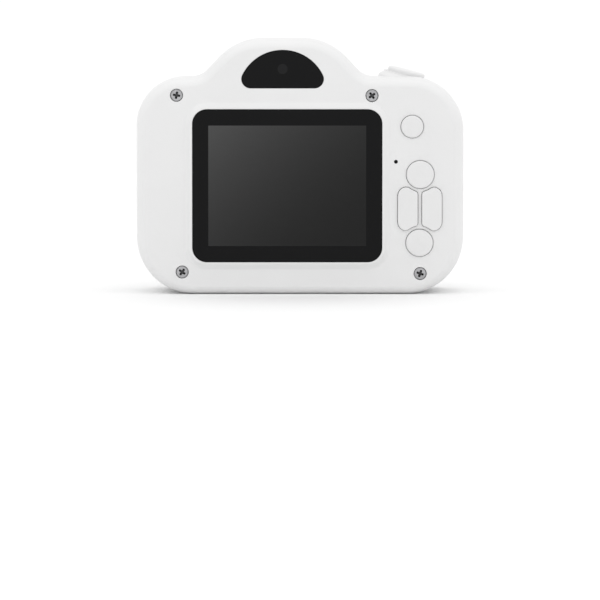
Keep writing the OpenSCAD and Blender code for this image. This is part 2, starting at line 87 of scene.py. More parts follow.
def solids_mm(node):
    """Middle of each separate solid of a node, in millimetres, in a steady order."""
    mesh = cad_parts[node].data
    group = list(range(len(mesh.vertices)))

    def top(i):
        while group[i] != i:
            group[i] = group[group[i]]
            i = group[i]
        return i

    same_place = {}
    for v in mesh.vertices:
        key = tuple(round(c, 6) for c in v.co)
        group[top(v.index)] = top(same_place.setdefault(key, v.index))
    for e in mesh.edges:
        group[top(e.vertices[0])] = top(e.vertices[1])
    parts = {}
    for v in mesh.vertices:
        parts.setdefault(top(v.index), []).append(v.co / MM)
    middles = []
    for corners in parts.values():
        low = Vector(map(min, zip(*corners)))
        high = Vector(map(max, zip(*corners)))
        middles.append((low + high) / 2)
    return sorted(middles, key=lambda p: (round(p.x, 2), round(p.z, 2)))


# ---- Sizes, in millimetres. The origin is on the flat base; +X is on the right from the lens side ----

SHELL_LOW, SHELL_HIGH = box_mm("rear_shell")
HALF_W = SHELL_HIGH.x
BODY_H = SHELL_HIGH.z
RIM_H = 0.8
BACK_Y = SHELL_HIGH.y - RIM_H
FRONT_Y = -BACK_Y
WALL = 1.9
INNER_BACK_Y = BACK_Y - WALL
INNER_FRONT_Y = FRONT_Y + WALL
FRONT_CORNER = 1.4
REAR_CORNER = 1.2
LIP_LEN = 1.2
LIP_CLEAR = 0.1
SEAM_Y = SHELL_LOW.y + LIP_LEN
SEAM_GAP = 0.1
SEAM_ROUND = 0.3
LIP_INSET = 1.0
LIP_GAP = 0.08

# Spacing of the points inside flat faces
FACE_GRID = 2.2
INSIDE_GRID = 4.0

# Outline arcs of the body
SHOULDER_Z = 56.0
HUMP_X = middle_mm("selfie_window").x
BASE_CORNER_R = 15.0
TOP_CORNER_R = (12.6, 14.0)
HUMP_FLAT = 5.0
HUMP_R = 16.0
HUMP_SLOPE = 47.0
FILLET_R = 6.0
REAR_EDGE = (2.2, 3.2)
FRONT_EDGE = (3.0, 4.0)
DRAFT = tan(radians(2))

# Lens: distances are measured forwards from the middle of the body
LENS_Z = middle_mm("lens_face_ring").z
FACE_H = -box_mm("front_shell")[0].y
RING_LOW, RING_HIGH = box_mm("lens_face_ring")
FACE_R = size_mm("lens_face_ring").x / 2
RING_H = -RING_LOW.y
RING_SEAT_H = -RING_HIGH.y
BEZEL_R = size_mm("lens_bezel").x / 2
FRONT_WALL_H = RING_SEAT_H - 1.8
PUPIL_R = 6.4
LENS_GAP = 0.02
PANE_T = 0.8
PANE_R = PUPIL_R + 0.75
TUBE_FLANGE_R = 12.0
TUBE_R = 8.2
TUBE_BACK_H = 13.6
CONE_BASE_R = 18.7
CONE_ROUND = 1.5
CONE_FILLET = 1.6
CONE_TOP_R = FACE_R + 0.1 + CONE_ROUND
CONE_MID_R = CONE_TOP_R + 0.75
CONE_MID_H = FACE_H - 3.6
CONE_MID_ROUND = 14.0

# Scale marks on the lens ring: two arcs in degrees, and each mark's half width in degrees and two radii
MARK_STARTS = (25, 205)
MARK_SPAN = 120
MARKS = 31
LONG_MARK = (1.15, 12.0, 13.5)
SHORT_MARK = (0.62, 12.4, 13.3)

# A very low swell of the front face round the cone: its height, and the radii where it is full and ends
SWELL = 0.45
SWELL_R = (23.0, 33.5)
SWELL_RINGS = 12
SWELL_STEP = 1.3

# Rear side
COVER_LOW, COVER_HIGH = box_mm("screen_cover")
SCREEN = middle_mm("screen_cover")
COVER_SIZE = COVER_HIGH - COVER_LOW
COVER_R = 3.8
COVER_Y = COVER_LOW.y
GLASS_GAP = 0.03
RIM_SLOPE = 1.3
RIM_LIP = 0.5
LCD_SIZE = size_mm("lcd_frame")
ACTIVE_W = 40.8
ACTIVE_H = 31.2
WINDOW_LOW, WINDOW_HIGH = box_mm("selfie_window")
WINDOW_R = 11.6
WINDOW_CORNER = 2.4
WINDOW_DEPTH = 1.0
SELFIE_Z = middle_mm("selfie_camera").z
PEEPHOLE_R = 1.3
SIGHT_R = 2.4
KEY_GAP = 0.08
KEY_RIM = 0.22
FLANGE_GROW = 0.5
FLANGE_T = 0.9
PAD = (middle_mm("left_key") + middle_mm("right_key")) / 2
PAD_W = 11.4
PAD_H = 11.3
PAD_CORNER = 2.2
PAD_GAP = 1.1
PAD_BITE_R = 4.5
TAB_HALF = (0.8, 3.0)
MIC = middle_mm("microphone")
MIC_R = 0.5
SCREWS = solids_mm("case_screws")
SCREW_HEAD_R = 1.7
SCREW_HEAD_Y = box_mm("case_screws")[1].y
SCREW_HEAD_T = 1.2
SCREW_TURNS = (20, 55, 35, 10)
SHANK_R = 0.95
SHANK_LEN = 8.0
THREAD_START = 6.9
THREAD_STEP = 0.3
THREAD_TURNS = 21
THREAD_DEPTH = 0.16
POST_END_Y = 8.0
POST_R = 2.4
POST_HOLE_R = 1.0
POST_GAP = 0.05
SCREW_BORE_R = 1.15
BOARD_SCREWS = solids_mm("board_screws")
BOARD_BACK_Y = 7.9
BOARD_POST_R = 1.9
BOARD_HOLE_R = 0.8

# Shutter button, on an axis tilted towards -X
SHUTTER = Vector((-27.6, -3.4, 56.24))
SHUTTER_TILT = radians(14.3)
SHUTTER_R = 4.9
SHUTTER_PROUD = 1.3
SHUTTER_STEM_R = 1.2
SHUTTER_STEM_END = -5.7
SHUTTER_FLANGE = (-4.85, -4.15)
SHUTTER_FLANGE_R = SHUTTER_R + 0.4
BORE_R = SHUTTER_R + 0.1
BORE_DEPTH = 5.0
COLLAR_R = 5.8
COLLAR_DEPTH = 3.0

# +X side
USB = middle_mm("usb_port")
USB_MOUTH = (9.7, 4.0)
CARD = middle_mm("memory_card")
CARD_MOUTH = (12.0, 1.9)
CARD_CHAMFER = 0.12
CARD_CORNER = 0.35
CARD_STEP_H = 1.1
CARD_LATCH_H = 0.6
CARD_CONTACTS = 8
CARD_PITCH = 1.05
LANYARD_Y = -4.0
LANYARD_Z = (43.0, 47.0)
LANYARD_R = 1.1
LANYARD_DEPTH = 5.0

# Speaker
SPEAKER = middle_mm("speaker")
SPEAKER_R = 8.0
FENCE_R = (SPEAKER_R + 0.15, SPEAKER_R + 1.2)
FENCE_H = 2.4
SLOT_RIGHT_X = 32.2
SLOT_TOP_Z = 22.15
SLOT_PITCH = 2.55
SLOT_LENGTHS = (2.4, 3.6, 4.8, 6.0)
SLOT_W = 1.0


# ---- Drawing helpers: flat points are (x, z), profiles are (reach, depth) ----


def arc(centre, radius, start, end, steps):
    """Points on an arc, both ends included; the angles are in degrees."""
    points = []
    for i in range(steps + 1):
        a = radians(start + (end - start) * i / steps)
        points.append((centre[0] + radius * cos(a), centre[1] + radius * sin(a)))
    return points


def rounded(path, steps=5):
    """A polyline with corners: (u, v, radius) for a rounded one and (u, v) for a sharp one."""
    points = []
    for i, (u, v, *given) in enumerate(path):
        if not given or i in (0, len(path) - 1):
            points.append((u, v))
            continue
        corner = Vector((u, v))
        before = Vector(path[i - 1][:2]) - corner
        after = Vector(path[i + 1][:2]) - corner
        half = before.angle(after) / 2
        reach = min(given[0] / tan(half), 0.5 * before.length, 0.5 * after.length)
        radius = reach * tan(half)
        before.normalize()
        after.normalize()
        centre = corner + (before + after).normalized() * radius / sin(half)
        first = corner + before * reach - centre
        last = corner + after * reach - centre
        turn = first.angle_signed(last)
        for k in range(steps + 1):
            a = -turn * k / steps
            x = first.x * cos(a) - first.y * sin(a)
            y = first.x * sin(a) + first.y * cos(a)
            points.append((centre.x + x, centre.y + y))
    return points


def circle(x, z, radius, steps):
    return [p for p in arc((x, z), radius, 0, 360, steps)][:-1]


def rectangle(x, z, half_w, half_h, radius, steps):
    """A rectangle with round corners, counter-clockwise."""
    w = half_w - radius
    h = half_h - radius
    return (
        arc((x + w, z - h), radius, -90, 0, steps)
        + arc((x + w, z + h), radius, 0, 90, steps)
        + arc((x - w, z + h), radius, 90, 180, steps)
        + arc((x - w, z - h), radius, 180, 270, steps)
    )


def window_shape(grow):
    """The half-moon of the selfie window, with a slightly bowed lower edge."""
    centre_z = WINDOW_HIGH.z - WINDOW_R
    corner_z = WINDOW_LOW.z + WINDOW_CORNER
    corner_x = sqrt((WINDOW_R - WINDOW_CORNER) ** 2 - (corner_z - centre_z) ** 2)
    a = degrees(atan2(corner_z - centre_z, corner_x))
    corner = WINDOW_CORNER + grow
    points = (
        arc((corner_x, corner_z), corner, -90, a, 12)
        + arc((0, centre_z), WINDOW_R + grow, a, 180 - a, 36)[1:-1]
        + arc((-corner_x, corner_z), corner, 180 - a, 270, 12)
    )
    return [(HUMP_X + x, z) for x, z in points]


def bitten(points, centre, radius):
    """The outline with the stretch inside a circle replaced by that circle's arc."""
    c = Vector(centre)
    inside = [(Vector(p) - c).length < radius for p in points]
    n = len(points)
    start = next(i for i in range(n) if inside[i] and not inside[i - 1])
    kept = [points[(start + i) % n] for i in range(n) if not inside[(start + i) % n]]
    leave = Vector(kept[-1]) - c
    enter = Vector(kept[0]) - c
    a = degrees(atan2(leave.y, leave.x))
    b = degrees(atan2(enter.y, enter.x))
    turn = (b - a + 180) % 360 - 180
    return kept + arc(centre, radius, a, a + turn, 24)


def even(points, count):
    """The same closed outline with evenly spaced points."""
    loop = [Vector(p) for p in points] + [Vector(points[0])]
    lengths = [0.0]
    for p, q in zip(loop, loop[1:]):
        lengths.append(lengths[-1] + (q - p).length)
    made = []
    k = 0
    for i in range(count):
        s = lengths[-1] * i / count
        while lengths[k + 1] < s:
            k += 1
        step = lengths[k + 1] - lengths[k]
        made.append(loop[k].lerp(loop[k + 1], (s - lengths[k]) / step if step else 0))
    return made


def pad_outline(side):
    """One of the two keys between up and down, with softened corners; side is 1 towards +X."""
    whole = rectangle(PAD.x, PAD.z, PAD_W / 2, PAD_H / 2, PAD_CORNER, 16)
    edge = PAD.x + side * PAD_GAP / 2
    half = [p for p in even(whole, 600) if side * (p[0] - edge) > 0]
    start = max(range(len(half)), key=lambda i: (half[i] - half[i - 1]).length)
    half = half[start:] + half[:start]
    first, last = half[0], half[-1]
    wall = [(edge, last[1] + (first[1] - last[1]) * i / 60) for i in range(61)]
    points = [tuple(p) for p in half] + wall
    for node in ("up_key", "down_key"):
        at = middle_mm(node)
        points = bitten(points, (at.x, at.z), PAD_BITE_R)
    loop = even(points, 240)
    for _ in range(26):
        n = len(loop)
        loop = [(loop[i - 1] + loop[i] * 2 + loop[(i + 1) % n]) / 4 for i in range(n)]
    return even(loop, 96)


def grown(loop, grow):
    """An outline of Vectors, counter-clockwise, moved out along its normals."""
    n = len(loop)
    points = []
    for i in range(n):
        along = (loop[(i + 1) % n] - loop[i - 1]).normalized()
        points.append((loop[i].x + along.y * grow, loop[i].y - along.x * grow))
    return points


def slot_shape(x, z, length, grow):
    half = (length - SLOT_W) / 2
    radius = SLOT_W / 2 + grow
    return arc((x + half, z), radius, -90, 90, 12) + arc((x - half, z), radius, 90, 270, 12)


# ---- Places: where a profile's radius, angle and height lie ----


def towards_back(x, z):
    return lambda r, a, h: (x + r * cos(a), h, z + r * sin(a))


def towards_front(x, z):
    return lambda r, a, h: (x + r * cos(a), -h, z + r * sin(a))


def along_shutter(r, a, h):
    u = r * cos(a)
    x = u * cos(SHUTTER_TILT) - h * sin(SHUTTER_TILT)
    z = u * sin(SHUTTER_TILT) + h * cos(SHUTTER_TILT)
    return (SHUTTER.x + x, SHUTTER.y + r * sin(a), SHUTTER.z + z)


# ---- Meshes ----


class Skin:
    """A mesh under construction, in millimetres."""

    def __init__(self):
        self.points = []
        self.faces = []
        self.slots = []

    def loop(self, points):
        first = len(self.points)
        self.points += [tuple(p) for p in points]
        return list(range(first, len(self.points)))

    def face(self, corners, slot=0):
        self.faces.append(tuple(corners))
        self.slots.append(slot)

    def bridge(self, a, b, slot=0):
        """Faces between two loops; a loop of one point makes a fan."""
        if len(a) == 1:
            a, b = b, a
        n = len(a)
        for i in range(n):
            k = (i + 1) % n
            if len(b) == 1:
                self.face((a[i], a[k], b[0]), slot)
            else:
                self.face((a[i], a[k], b[k], b[i]), slot)

    def skin_over(self, loops, slot=0):
        for a, b in zip(loops, loops[1:]):
            self.bridge(a, b, slot)

    def turn(self, profile, place, steps):
        """A profile of (radius, height) turned round an axis; returns its first and last loop."""
        loops = []
        for radius, height in profile:
            if radius < 1e-9:
                loops.append(self.loop([place(0, 0, height)]))
                continue
            angles = [2 * pi * i / steps for i in range(steps)]
            loops.append(self.loop([place(radius, a, height) for a in angles]))
        self.skin_over(loops)
        return loops[0], loops[-1]

    def sweep(self, shape, profile):
        """A flat outline carried along a profile of (grow, y); returns its first and last loop."""
        loops = []
        for grow, y in profile:
            loops.append(self.loop([(x, y, z) for x, z in shape(grow)]))
        self.skin_over(loops)
        return loops[0], loops[-1]

    def plate(self, outer, holes=(), spacing=None, extra=(), slot=0):
        """A flat face at one depth between an outer loop and holes, in even triangles."""
        y = self.points[outer[0]][1]
        index = list(outer)
        for hole in holes:
            index += hole
        flat = np.array([(self.points[i][0], self.points[i][2]) for i in index])
        rings = []
        count = 0
        for ring in (outer, *holes):
            rings.append(list(range(count, count + len(ring))))
            count += len(ring)
        polygons = [flat[ring] for ring in rings]
        added = [p for p in extra if in_region(p, polygons)]
        if spacing:
            added = fill(flat, polygons, spacing, added)
        index += self.loop([(x, y, z) for x, z in added])
        coords = [Vector(p) for p in flat] + [Vector(p) for p in added]
        edges = [(r[i - 1], r[i]) for r in rings for i in range(len(r))]
        out = delaunay_2d_cdt(coords, edges, rings, 1, 1e-7)
        source = [o[0] for o in out[3]]
        for corners, parents in zip(out[2], out[5]):
            if parents == [0]:
                self.face([index[source[c]] for c in corners], slot)


def in_polygon(p, polygon):
    x, z = polygon[:, 0], polygon[:, 1]
    x2, z2 = np.roll(x, -1), np.roll(z, -1)
    crosses = (z > p[1]) != (z2 > p[1])
    rise = np.where(crosses, z2 - z, 1)
    return bool(np.count_nonzero(crosses & (p[0] < (x2 - x) * (p[1] - z) / rise + x)) % 2)


def in_region(p, polygons):
    return in_polygon(p, polygons[0]) and not any(in_polygon(p, q) for q in polygons[1:])


def fill(flat, polygons, spacing, added):
    """Points of a triangular grid inside a region, clear of its edges and of the points given."""
    taken = np.array(list(flat) + [tuple(p) for p in added])
    low, high = polygons[0].min(0), polygons[0].max(0)
    rows = int((high[1] - low[1]) / (spacing * 0.866)) + 1
    columns = int((high[0] - low[0]) / spacing) + 2
    for j in range(rows):
        for i in range(columns):
            p = (low[0] + (i + 0.5 * (j % 2)) * spacing, low[1] + (j + 0.5) * spacing * 0.866)
            if np.hypot(*(taken - p).T).min() > spacing * 0.7 and in_region(p, polygons):
                added.append(p)
    return added


def shade(piece, crease=38):
    """Smooth faces with creases kept, and normals that follow the large faces."""
    mesh = piece.data
    mesh.shade_smooth()
    mesh.set_sharp_from_angle(angle=radians(crease))
    steady = piece.modifiers.new("steady_normals", "WEIGHTED_NORMAL")
    steady.keep_sharp = True
    steady.weight = 80


def turn_out(mesh):
    """Joins points that share a place and makes all faces look outwards."""
    bm = bmesh.new()
    bm.from_mesh(mesh)
    bmesh.ops.remove_doubles(bm, verts=bm.verts, dist=1e-7)
    bmesh.ops.recalc_face_normals(bm, faces=bm.faces)
    bm.to_mesh(mesh)
    bm.free()


def placed(name, data):
    thing = bpy.data.objects.new(name, data)
    bpy.context.scene.collection.objects.link(thing)
    return thing


def plain_object(name, skin, materials):
    mesh = bpy.data.meshes.new(name)
    mesh.from_pydata([tuple(c * MM for c in p) for p in skin.points], [], skin.faces)
    for m in materials:
        mesh.materials.append(m)
    mesh.polygons.foreach_set("material_index", skin.slots)
    turn_out(mesh)
    mesh.validate()
    return placed(name, mesh)


def piece_of(name, skin, materials, node=None, body="camera"):
    finish_piece(plain_object(name, skin, materials), node, body)


def turned_piece(name, profile, place, steps, material, node=None, body="camera"):
    skin = Skin()
    skin.turn(profile, place, steps)
    piece_of(name, skin, [material], node, body)


def finish_piece(piece, node=None, body="camera", crease=38):
    """Shades a piece, ties it to its body, and hides the node it replaces."""
    shade(piece, crease)
    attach(piece, body)
    if node:
        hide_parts(node)


def combine(piece, how, skin, material=None):
    """Cuts a closed skin out of the piece, or joins it on."""
    tool = plain_object("tool", skin, [material or piece.data.materials[0]])
    change = piece.modifiers.new(how, "BOOLEAN")
    change.operation = how
    change.solver = "EXACT"
    change.material_mode = "TRANSFER"
    change.object = tool
    graph = bpy.context.evaluated_depsgraph_get()
    made = bpy.data.meshes.new_from_object(piece.evaluated_get(graph))
    piece.modifiers.clear()
    piece.data = made
    old = tool.data
    bpy.data.objects.remove(tool)
    bpy.data.meshes.remove(old)


# ---- Body outline ----


def outline_points():
    """Points (x, z, normal x, normal z) of the body's outline, counter-clockwise from the base."""
    steep = radians(90 - HUMP_SLOPE)
    rise = SHOULDER_Z + FILLET_R - BODY_H + HUMP_R
    fillet_x = HUMP_FLAT + (HUMP_R + FILLET_R - sin(steep) * rise) / cos(steep)
    top_z = [SHOULDER_Z - r for r in TOP_CORNER_R]
    arcs = [
        ((HALF_W - BASE_CORNER_R, BASE_CORNER_R), BASE_CORNER_R, -90, 0, 24, 1),
        ((HALF_W - TOP_CORNER_R[0], top_z[0]), TOP_CORNER_R[0], 0, 90, 24, 1),
        ((HUMP_X + fillet_x, SHOULDER_Z + FILLET_R), FILLET_R, -90, -90 - HUMP_SLOPE, 10, -1),
        ((HUMP_X + HUMP_FLAT, BODY_H - HUMP_R), HUMP_R, 90 - HUMP_SLOPE, 90, 12, 1),
        ((HUMP_X - HUMP_FLAT, BODY_H - HUMP_R), HUMP_R, 90, 90 + HUMP_SLOPE, 12, 1),
        ((HUMP_X - fillet_x, SHOULDER_Z + FILLET_R), FILLET_R, HUMP_SLOPE - 90, -90, 10, -1),
        ((TOP_CORNER_R[1] - HALF_W, top_z[1]), TOP_CORNER_R[1], 90, 180, 24, 1),
        ((BASE_CORNER_R - HALF_W, BASE_CORNER_R), BASE_CORNER_R, 180, 270, 24, 1),
    ]
    points = []
    for centre, radius, start, end, steps, side in arcs:
        if points:
            points += straight(points[-1], arc(centre, radius, start, start, 1)[0])
        for x, z in arc(centre, radius, start, end, steps):
            normal_x = side * (x - centre[0]) / radius
            normal_z = side * (z - centre[1]) / radius
            points.append((x, z, normal_x, normal_z))
    return points + straight(points[-1], points[0])


def straight(here, there):
    """Points inside a straight stretch of the outline, a few millimetres apart."""
    length = hypot(there[0] - here[0], there[1] - here[1])
    steps = max(1, round(length / 3.5))
    made = []
    for i in range(1, steps):
        x = here[0] + (there[0] - here[0]) * i / steps
        z = here[1] + (there[1] - here[1]) * i / steps
        made.append((x, z, here[2], here[3]))
    return made


OUTLINE = outline_points()


def ring(y, inset):
    """The body's outline at depth y, drawn in by inset and by the draft; the base stays flat."""
    slope = abs(y - SEAM_Y) * DRAFT
    points = []
    for x, z, nx, nz in OUTLINE:
        d = inset + slope * (1 + min(0, nz))
        points.append((x - nx * d, y, z - nz * d))
    return points


def edge_rings(face_y, edge):
    """The outlines of an edge rounded by (inwards, depthwise) radii, ending at the flat face."""
    way = copysign(1, face_y)
    steps = 14
    rings = []
    for i in range(steps + 1):
        a = pi / 2 * i / steps
        y = face_y - way * edge[1] * (1 - sin(a))
        rings.append(ring(y, edge[0] * (1 - cos(a))))
    return rings


def side_rings(from_y, to_y, steps):
    """Outlines down a side wall, starting with the small round beside the seam."""
    way = copysign(1, to_y - from_y)
    rings = []
    for i in range(5):
        a = pi / 2 * i / 4
        y = from_y + way * SEAM_ROUND * (1 - cos(a))
        rings.append(ring(y, SEAM_ROUND * (1 - sin(a))))
    for i in range(1, steps):
        y = from_y + way * SEAM_ROUND
        rings.append(ring(y + (to_y - y) * i / steps, 0))
    return rings


# ---- Materials: every one is procedural, in object space, so it moves with its piece ----


class Nodes:
    """A new material, and a short way to write its node tree."""

    def __init__(self, name):
        self.material = bpy.data.materials.new(name)
        self.material.use_nodes = True
        self.tree = self.material.node_tree
        self.tree.nodes.clear()
        self.shader = self.tree.nodes.new("ShaderNodeBsdfPrincipled")
        out = self.tree.nodes.new("ShaderNodeOutputMaterial")
        self.tree.links.new(self.shader.outputs[0], out.inputs[0])
        self.place = self.tree.nodes.new("ShaderNodeTexCoord").outputs["Object"]

    def add(self, kind, inputs=None, **settings):
        node = self.tree.nodes.new("ShaderNode" + kind)
        for name, value in settings.items():
            setattr(node, name, value)
        for name, value in (inputs or {}).items():
            self.put(value, node.inputs[name])
        return node

    def put(self, value, socket):
        if isinstance(value, bpy.types.NodeSocket):
            self.tree.links.new(value, socket)
        else:
            socket.default_value = value

    def noise(self, size_mm, detail=2.0, roughness=0.5):
        """Noise with features of about this size, as a factor."""
        inputs = {"Vector": self.place, "Scale": 1 / (size_mm * MM), "Detail": detail}
        inputs["Roughness"] = roughness
        return self.add("TexNoise", inputs).outputs["Fac"]

    def bands(self, width_mm, direction):
        inputs = {"Vector": self.place, "Scale": 1 / (width_mm * MM), "Distortion": 0.0}
        return self.add("TexWave", inputs, bands_direction=direction).outputs["Fac"]

    def cells(self, size_mm, **settings):
        inputs = {"Vector": self.place, "Scale": 1 / (size_mm * MM)}
        return self.add("TexVoronoi", inputs, **settings).outputs["Distance"]

    def between(self, factor, low=0.0, high=1.0):
        """The factor's useful middle stretched over low to high."""
        inputs = {"Value": factor, "From Min": 0.3, "From Max": 0.7, "To Min": low, "To Max": high}
        return self.add("MapRange", inputs).outputs["Result"]

    def math(self, operation, a, b=0.0):
        node = self.add("Math", operation=operation)
        self.put(a, node.inputs[0])
        self.put(b, node.inputs[1])
        return node.outputs[0]

    def blend(self, a, part_a, b, part_b):
        return self.math("ADD", self.math("MULTIPLY", a, part_a), self.math("MULTIPLY", b, part_b))

    def mix(self, factor, a, b):
        node = self.add("Mix", data_type="RGBA")
        self.put(factor, node.inputs[0])
        self.put(a, node.inputs[6])
        self.put(b, node.inputs[7])
        return node.outputs[2]

    def colour(self, value):
        self.put(value, self.shader.inputs["Base Color"])

    def tone(self, factor, colour, low, high):
        """One colour between two strengths."""
        self.colour(self.mix(factor, tinted(colour, low), tinted(colour, high)))

    def rough(self, size_mm, detail, low, high):
        """Roughness that wanders between two values."""
        patches = self.between(self.noise(size_mm, detail), low, high)
        self.put(patches, self.shader.inputs["Roughness"])

    def bump(self, height, strength, distance_mm):
        inputs = {"Height": height, "Strength": strength, "Distance": distance_mm * MM}
        self.put(self.add("Bump", inputs).outputs["Normal"], self.shader.inputs["Normal"])

    def gloss(self, ior=1.5, coat=0.0, metallic=0.0, specular=0.5):
        """Sets the shader's constant sockets and hands over the finished material."""
        self.shader.inputs["Specular IOR Level"].default_value = specular
        self.shader.inputs["IOR"].default_value = ior
        self.shader.inputs["Coat Weight"].default_value = coat
        self.shader.inputs["Metallic"].default_value = metallic
        return self.material


def grey(level):
    return (level, level, level, 1.0)


def tinted(colour, factor):
    return tuple(c * factor for c in colour[:3]) + (1.0,)


# Low mirror gloss, for dark panels that show their own tone
DULL_GLASS = {"ior": 1.3, "specular": 0.25}


def moulded(name, colour, grain_mm, relief, rough, vary=0.015):
    """Moulded plastic: fine spark-eroded grain, slow waves of the mould, and slight flow marks."""
    n = Nodes(name)
    cloud = n.between(n.noise(14, 3))
    fleck = n.between(n.noise(0.5, 2))
    tone = n.blend(cloud, 0.7, fleck, 0.3)
    n.tone(tone, colour, 1 - vary, 1 + vary)
    n.rough(3.0, 3, *rough)
    grain = n.noise(grain_mm, 3, 0.6)
    waves = n.math("MULTIPLY", n.noise(6, 1), 3.0)
    n.bump(n.math("ADD", grain, waves), relief, 0.01)
    return n.gloss()


def metal(name, colour, rough, brush_mm=0.12):
    """Plated steel with a fine random brush and a few darker spots."""
    n = Nodes(name)
    spots = n.between(n.noise(0.8, 4, 0.7))
    n.tone(spots, colour, 0.82, 1.06)
    n.rough(0.4, 3, *rough)
    n.bump(n.noise(brush_mm, 3), 0.25, 0.006)
    return n.gloss(metallic=1.0)


def polished(name, colour, rough):
    """Polished acrylic or glass over a dark print."""
    n = Nodes(name)
    cloud = n.between(n.noise(9, 2))
    n.tone(cloud, colour, 0.94, 1.06)
    n.rough(4, 3, *rough)
    n.bump(n.noise(25, 1), 0.04, 0.02)
    return n.gloss(**DULL_GLASS)


def screen_painted_sheen():
    """The dark panel behind the cover, with painted sheen: a painted reflection greys it towards one upper
    corner, under a faint line texture.
    """
    n = Nodes("screen_painted_sheen")
    split = n.add("SeparateXYZ", {"Vector": n.place}).outputs

    def along(axis, middle, length):
        inputs = {"Value": split[axis], "To Min": 0.0, "To Max": 1.0}
        inputs["From Min"] = (middle - length / 2) * MM
        inputs["From Max"] = (middle + length / 2) * MM
        return n.add("MapRange", inputs).outputs[0]

    across = along("X", SCREEN.x, ACTIVE_W)
    up = along("Z", SCREEN.z, ACTIVE_H)
    # Painted reflection: the panel's grey rises towards its upper corner on +X
    soft = n.math("POWER", n.blend(across, 0.55, up, 0.45), 2.2)
    tone = n.math("ADD", soft, n.math("MULTIPLY", n.bands(0.6, "Z"), 0.01))
    n.colour(n.mix(tone, grey(0.0125), grey(0.066)))
    n.rough(4, 3, 0.3, 0.36)
    n.bump(n.noise(0.3, 1), 0.02, 0.005)
    return n.gloss(**DULL_GLASS)


def circuit_board():
    """Green solder mask with copper runs showing through it."""
    n = Nodes("circuit_board")
    cells = n.cells(3, distance="MANHATTAN", feature="F1")
    runs = n.math("GREATER_THAN", n.math("FRACT", n.math("MULTIPLY", cells, 6)), 0.62)
    base = n.mix(n.between(n.noise(4, 2)), (0.008, 0.085, 0.03, 1), (0.012, 0.11, 0.04, 1))
    n.colour(n.mix(runs, base, (0.03, 0.2, 0.07, 1)))
    n.rough(1.0, 2, 0.3, 0.42)
    n.bump(runs, 0.4, 0.03)
    return n.gloss(coat=0.3)


def flex_film():
    """Amber polyimide film with copper tracks inside."""
    n = Nodes("flex_film")
    tracks = n.bands(2.2, "X")
    amber = n.mix(n.between(n.noise(3, 2)), (0.42, 0.17, 0.02, 1), (0.5, 0.22, 0.03, 1))
    n.colour(n.mix(n.math("GREATER_THAN", tracks, 0.6), amber, (0.62, 0.3, 0.08, 1)))
    n.rough(2, 2, 0.25, 0.35)
    n.bump(tracks, 0.2, 0.01)
    return n.material


def foam():
    n = Nodes("foam")
    cells = n.cells(0.35)
    n.colour(n.mix(cells, grey(0.05), grey(0.12)))
    n.rough(2, 2, 0.85, 0.95)
    n.bump(cells, 0.8, 0.1)
    return n.material


def clear_glass(name, colour, rough=0.02, ior=1.49, specular=0.5):
    """Clear moulded acrylic with a slight tint and faint waves."""
    n = Nodes(name)
    n.tone(n.noise(5, 1), colour, 0.96, 1.0)
    n.rough(3, 2, rough, rough * 1.5)
    n.bump(n.noise(12, 1), 0.03, 0.01)
    n.shader.inputs["Transmission Weight"].default_value = 1.0
    return n.gloss(ior=ior, specular=specular)


WHITE = moulded("white_shell", grey(0.755), 0.16, 0.30, (0.34, 0.44))
RING_WHITE = moulded("white_ring", (0.72, 0.72, 0.725), 0.2, 0.14, (0.30, 0.38))
KEY_WHITE = moulded("white_key", grey(0.735), 0.18, 0.20, (0.28, 0.36))
TRAY = moulded("white_tray", (0.72, 0.72, 0.70), 0.15, 0.4, (0.5, 0.6))
BLACK = moulded("black_plastic", (0.012, 0.012, 0.013), 0.15, 0.1, (0.35, 0.5), 0.15)
CHIP = moulded("chip_black", (0.028, 0.028, 0.03), 0.1, 0.7, (0.55, 0.7), 0.15)
PRINT = moulded("grey_print", (0.17, 0.17, 0.175), 0.08, 0.4, (0.5, 0.62), 0.08)
CARD_BLACK = moulded("card_black", (0.022, 0.022, 0.024), 0.12, 0.4, (0.4, 0.55), 0.15)
WIRE = moulded("wire_red", (0.5, 0.02, 0.02), 0.3, 0.2, (0.35, 0.45), 0.1)
STEEL = metal("steel", (0.47, 0.47, 0.48), (0.28, 0.42))
# A darkened copy of the steel: painted shade for the screws' cross recesses
STEEL_PAINTED_SHADE = metal("recess_painted_shade_steel", (0.09, 0.09, 0.092), (0.4, 0.5))
TIN = metal("tin_shell", (0.55, 0.55, 0.56), (0.3, 0.42))
GOLD = metal("gold_contact", (0.75, 0.52, 0.2), (0.22, 0.32))
FOIL = metal("foil", (0.62, 0.62, 0.64), (0.32, 0.5), 0.5)
COVER_BLACK = polished("screen_black", (0.004, 0.004, 0.0043), (0.05, 0.08))
WINDOW_BLACK = polished("window_black", (0.0045, 0.0045, 0.0048), (0.05, 0.08))
PEEPHOLE = polished("window_peephole", (0.0125, 0.0125, 0.013), (0.06, 0.1))
SCREEN_PAINTED_SHEEN = screen_painted_sheen()
LCD = polished("lcd_glass", (0.03, 0.03, 0.033), (0.12, 0.2))
BOARD = circuit_board()
FLEX = flex_film()
FOAM = foam()
CLEAR = clear_glass("clear_window", (0.5, 0.5, 0.52), 0.02, 1.15, 0.35)
LENS_GLASS = clear_glass("lens_glass", (0.75, 0.8, 0.95), 0.01)


# ---- Shells ----


def hole_edge(radius, from_y, to_y, grow=0.0):
    """Profile of a hole's wall going in from a face, with its rim rounded."""
    way = copysign(1, to_y - from_y)
    points = arc((grow + radius, radius), radius, 270, 180, 5)
    return [(g, from_y + way * d) for g, d in points] + [(grow, to_y)]


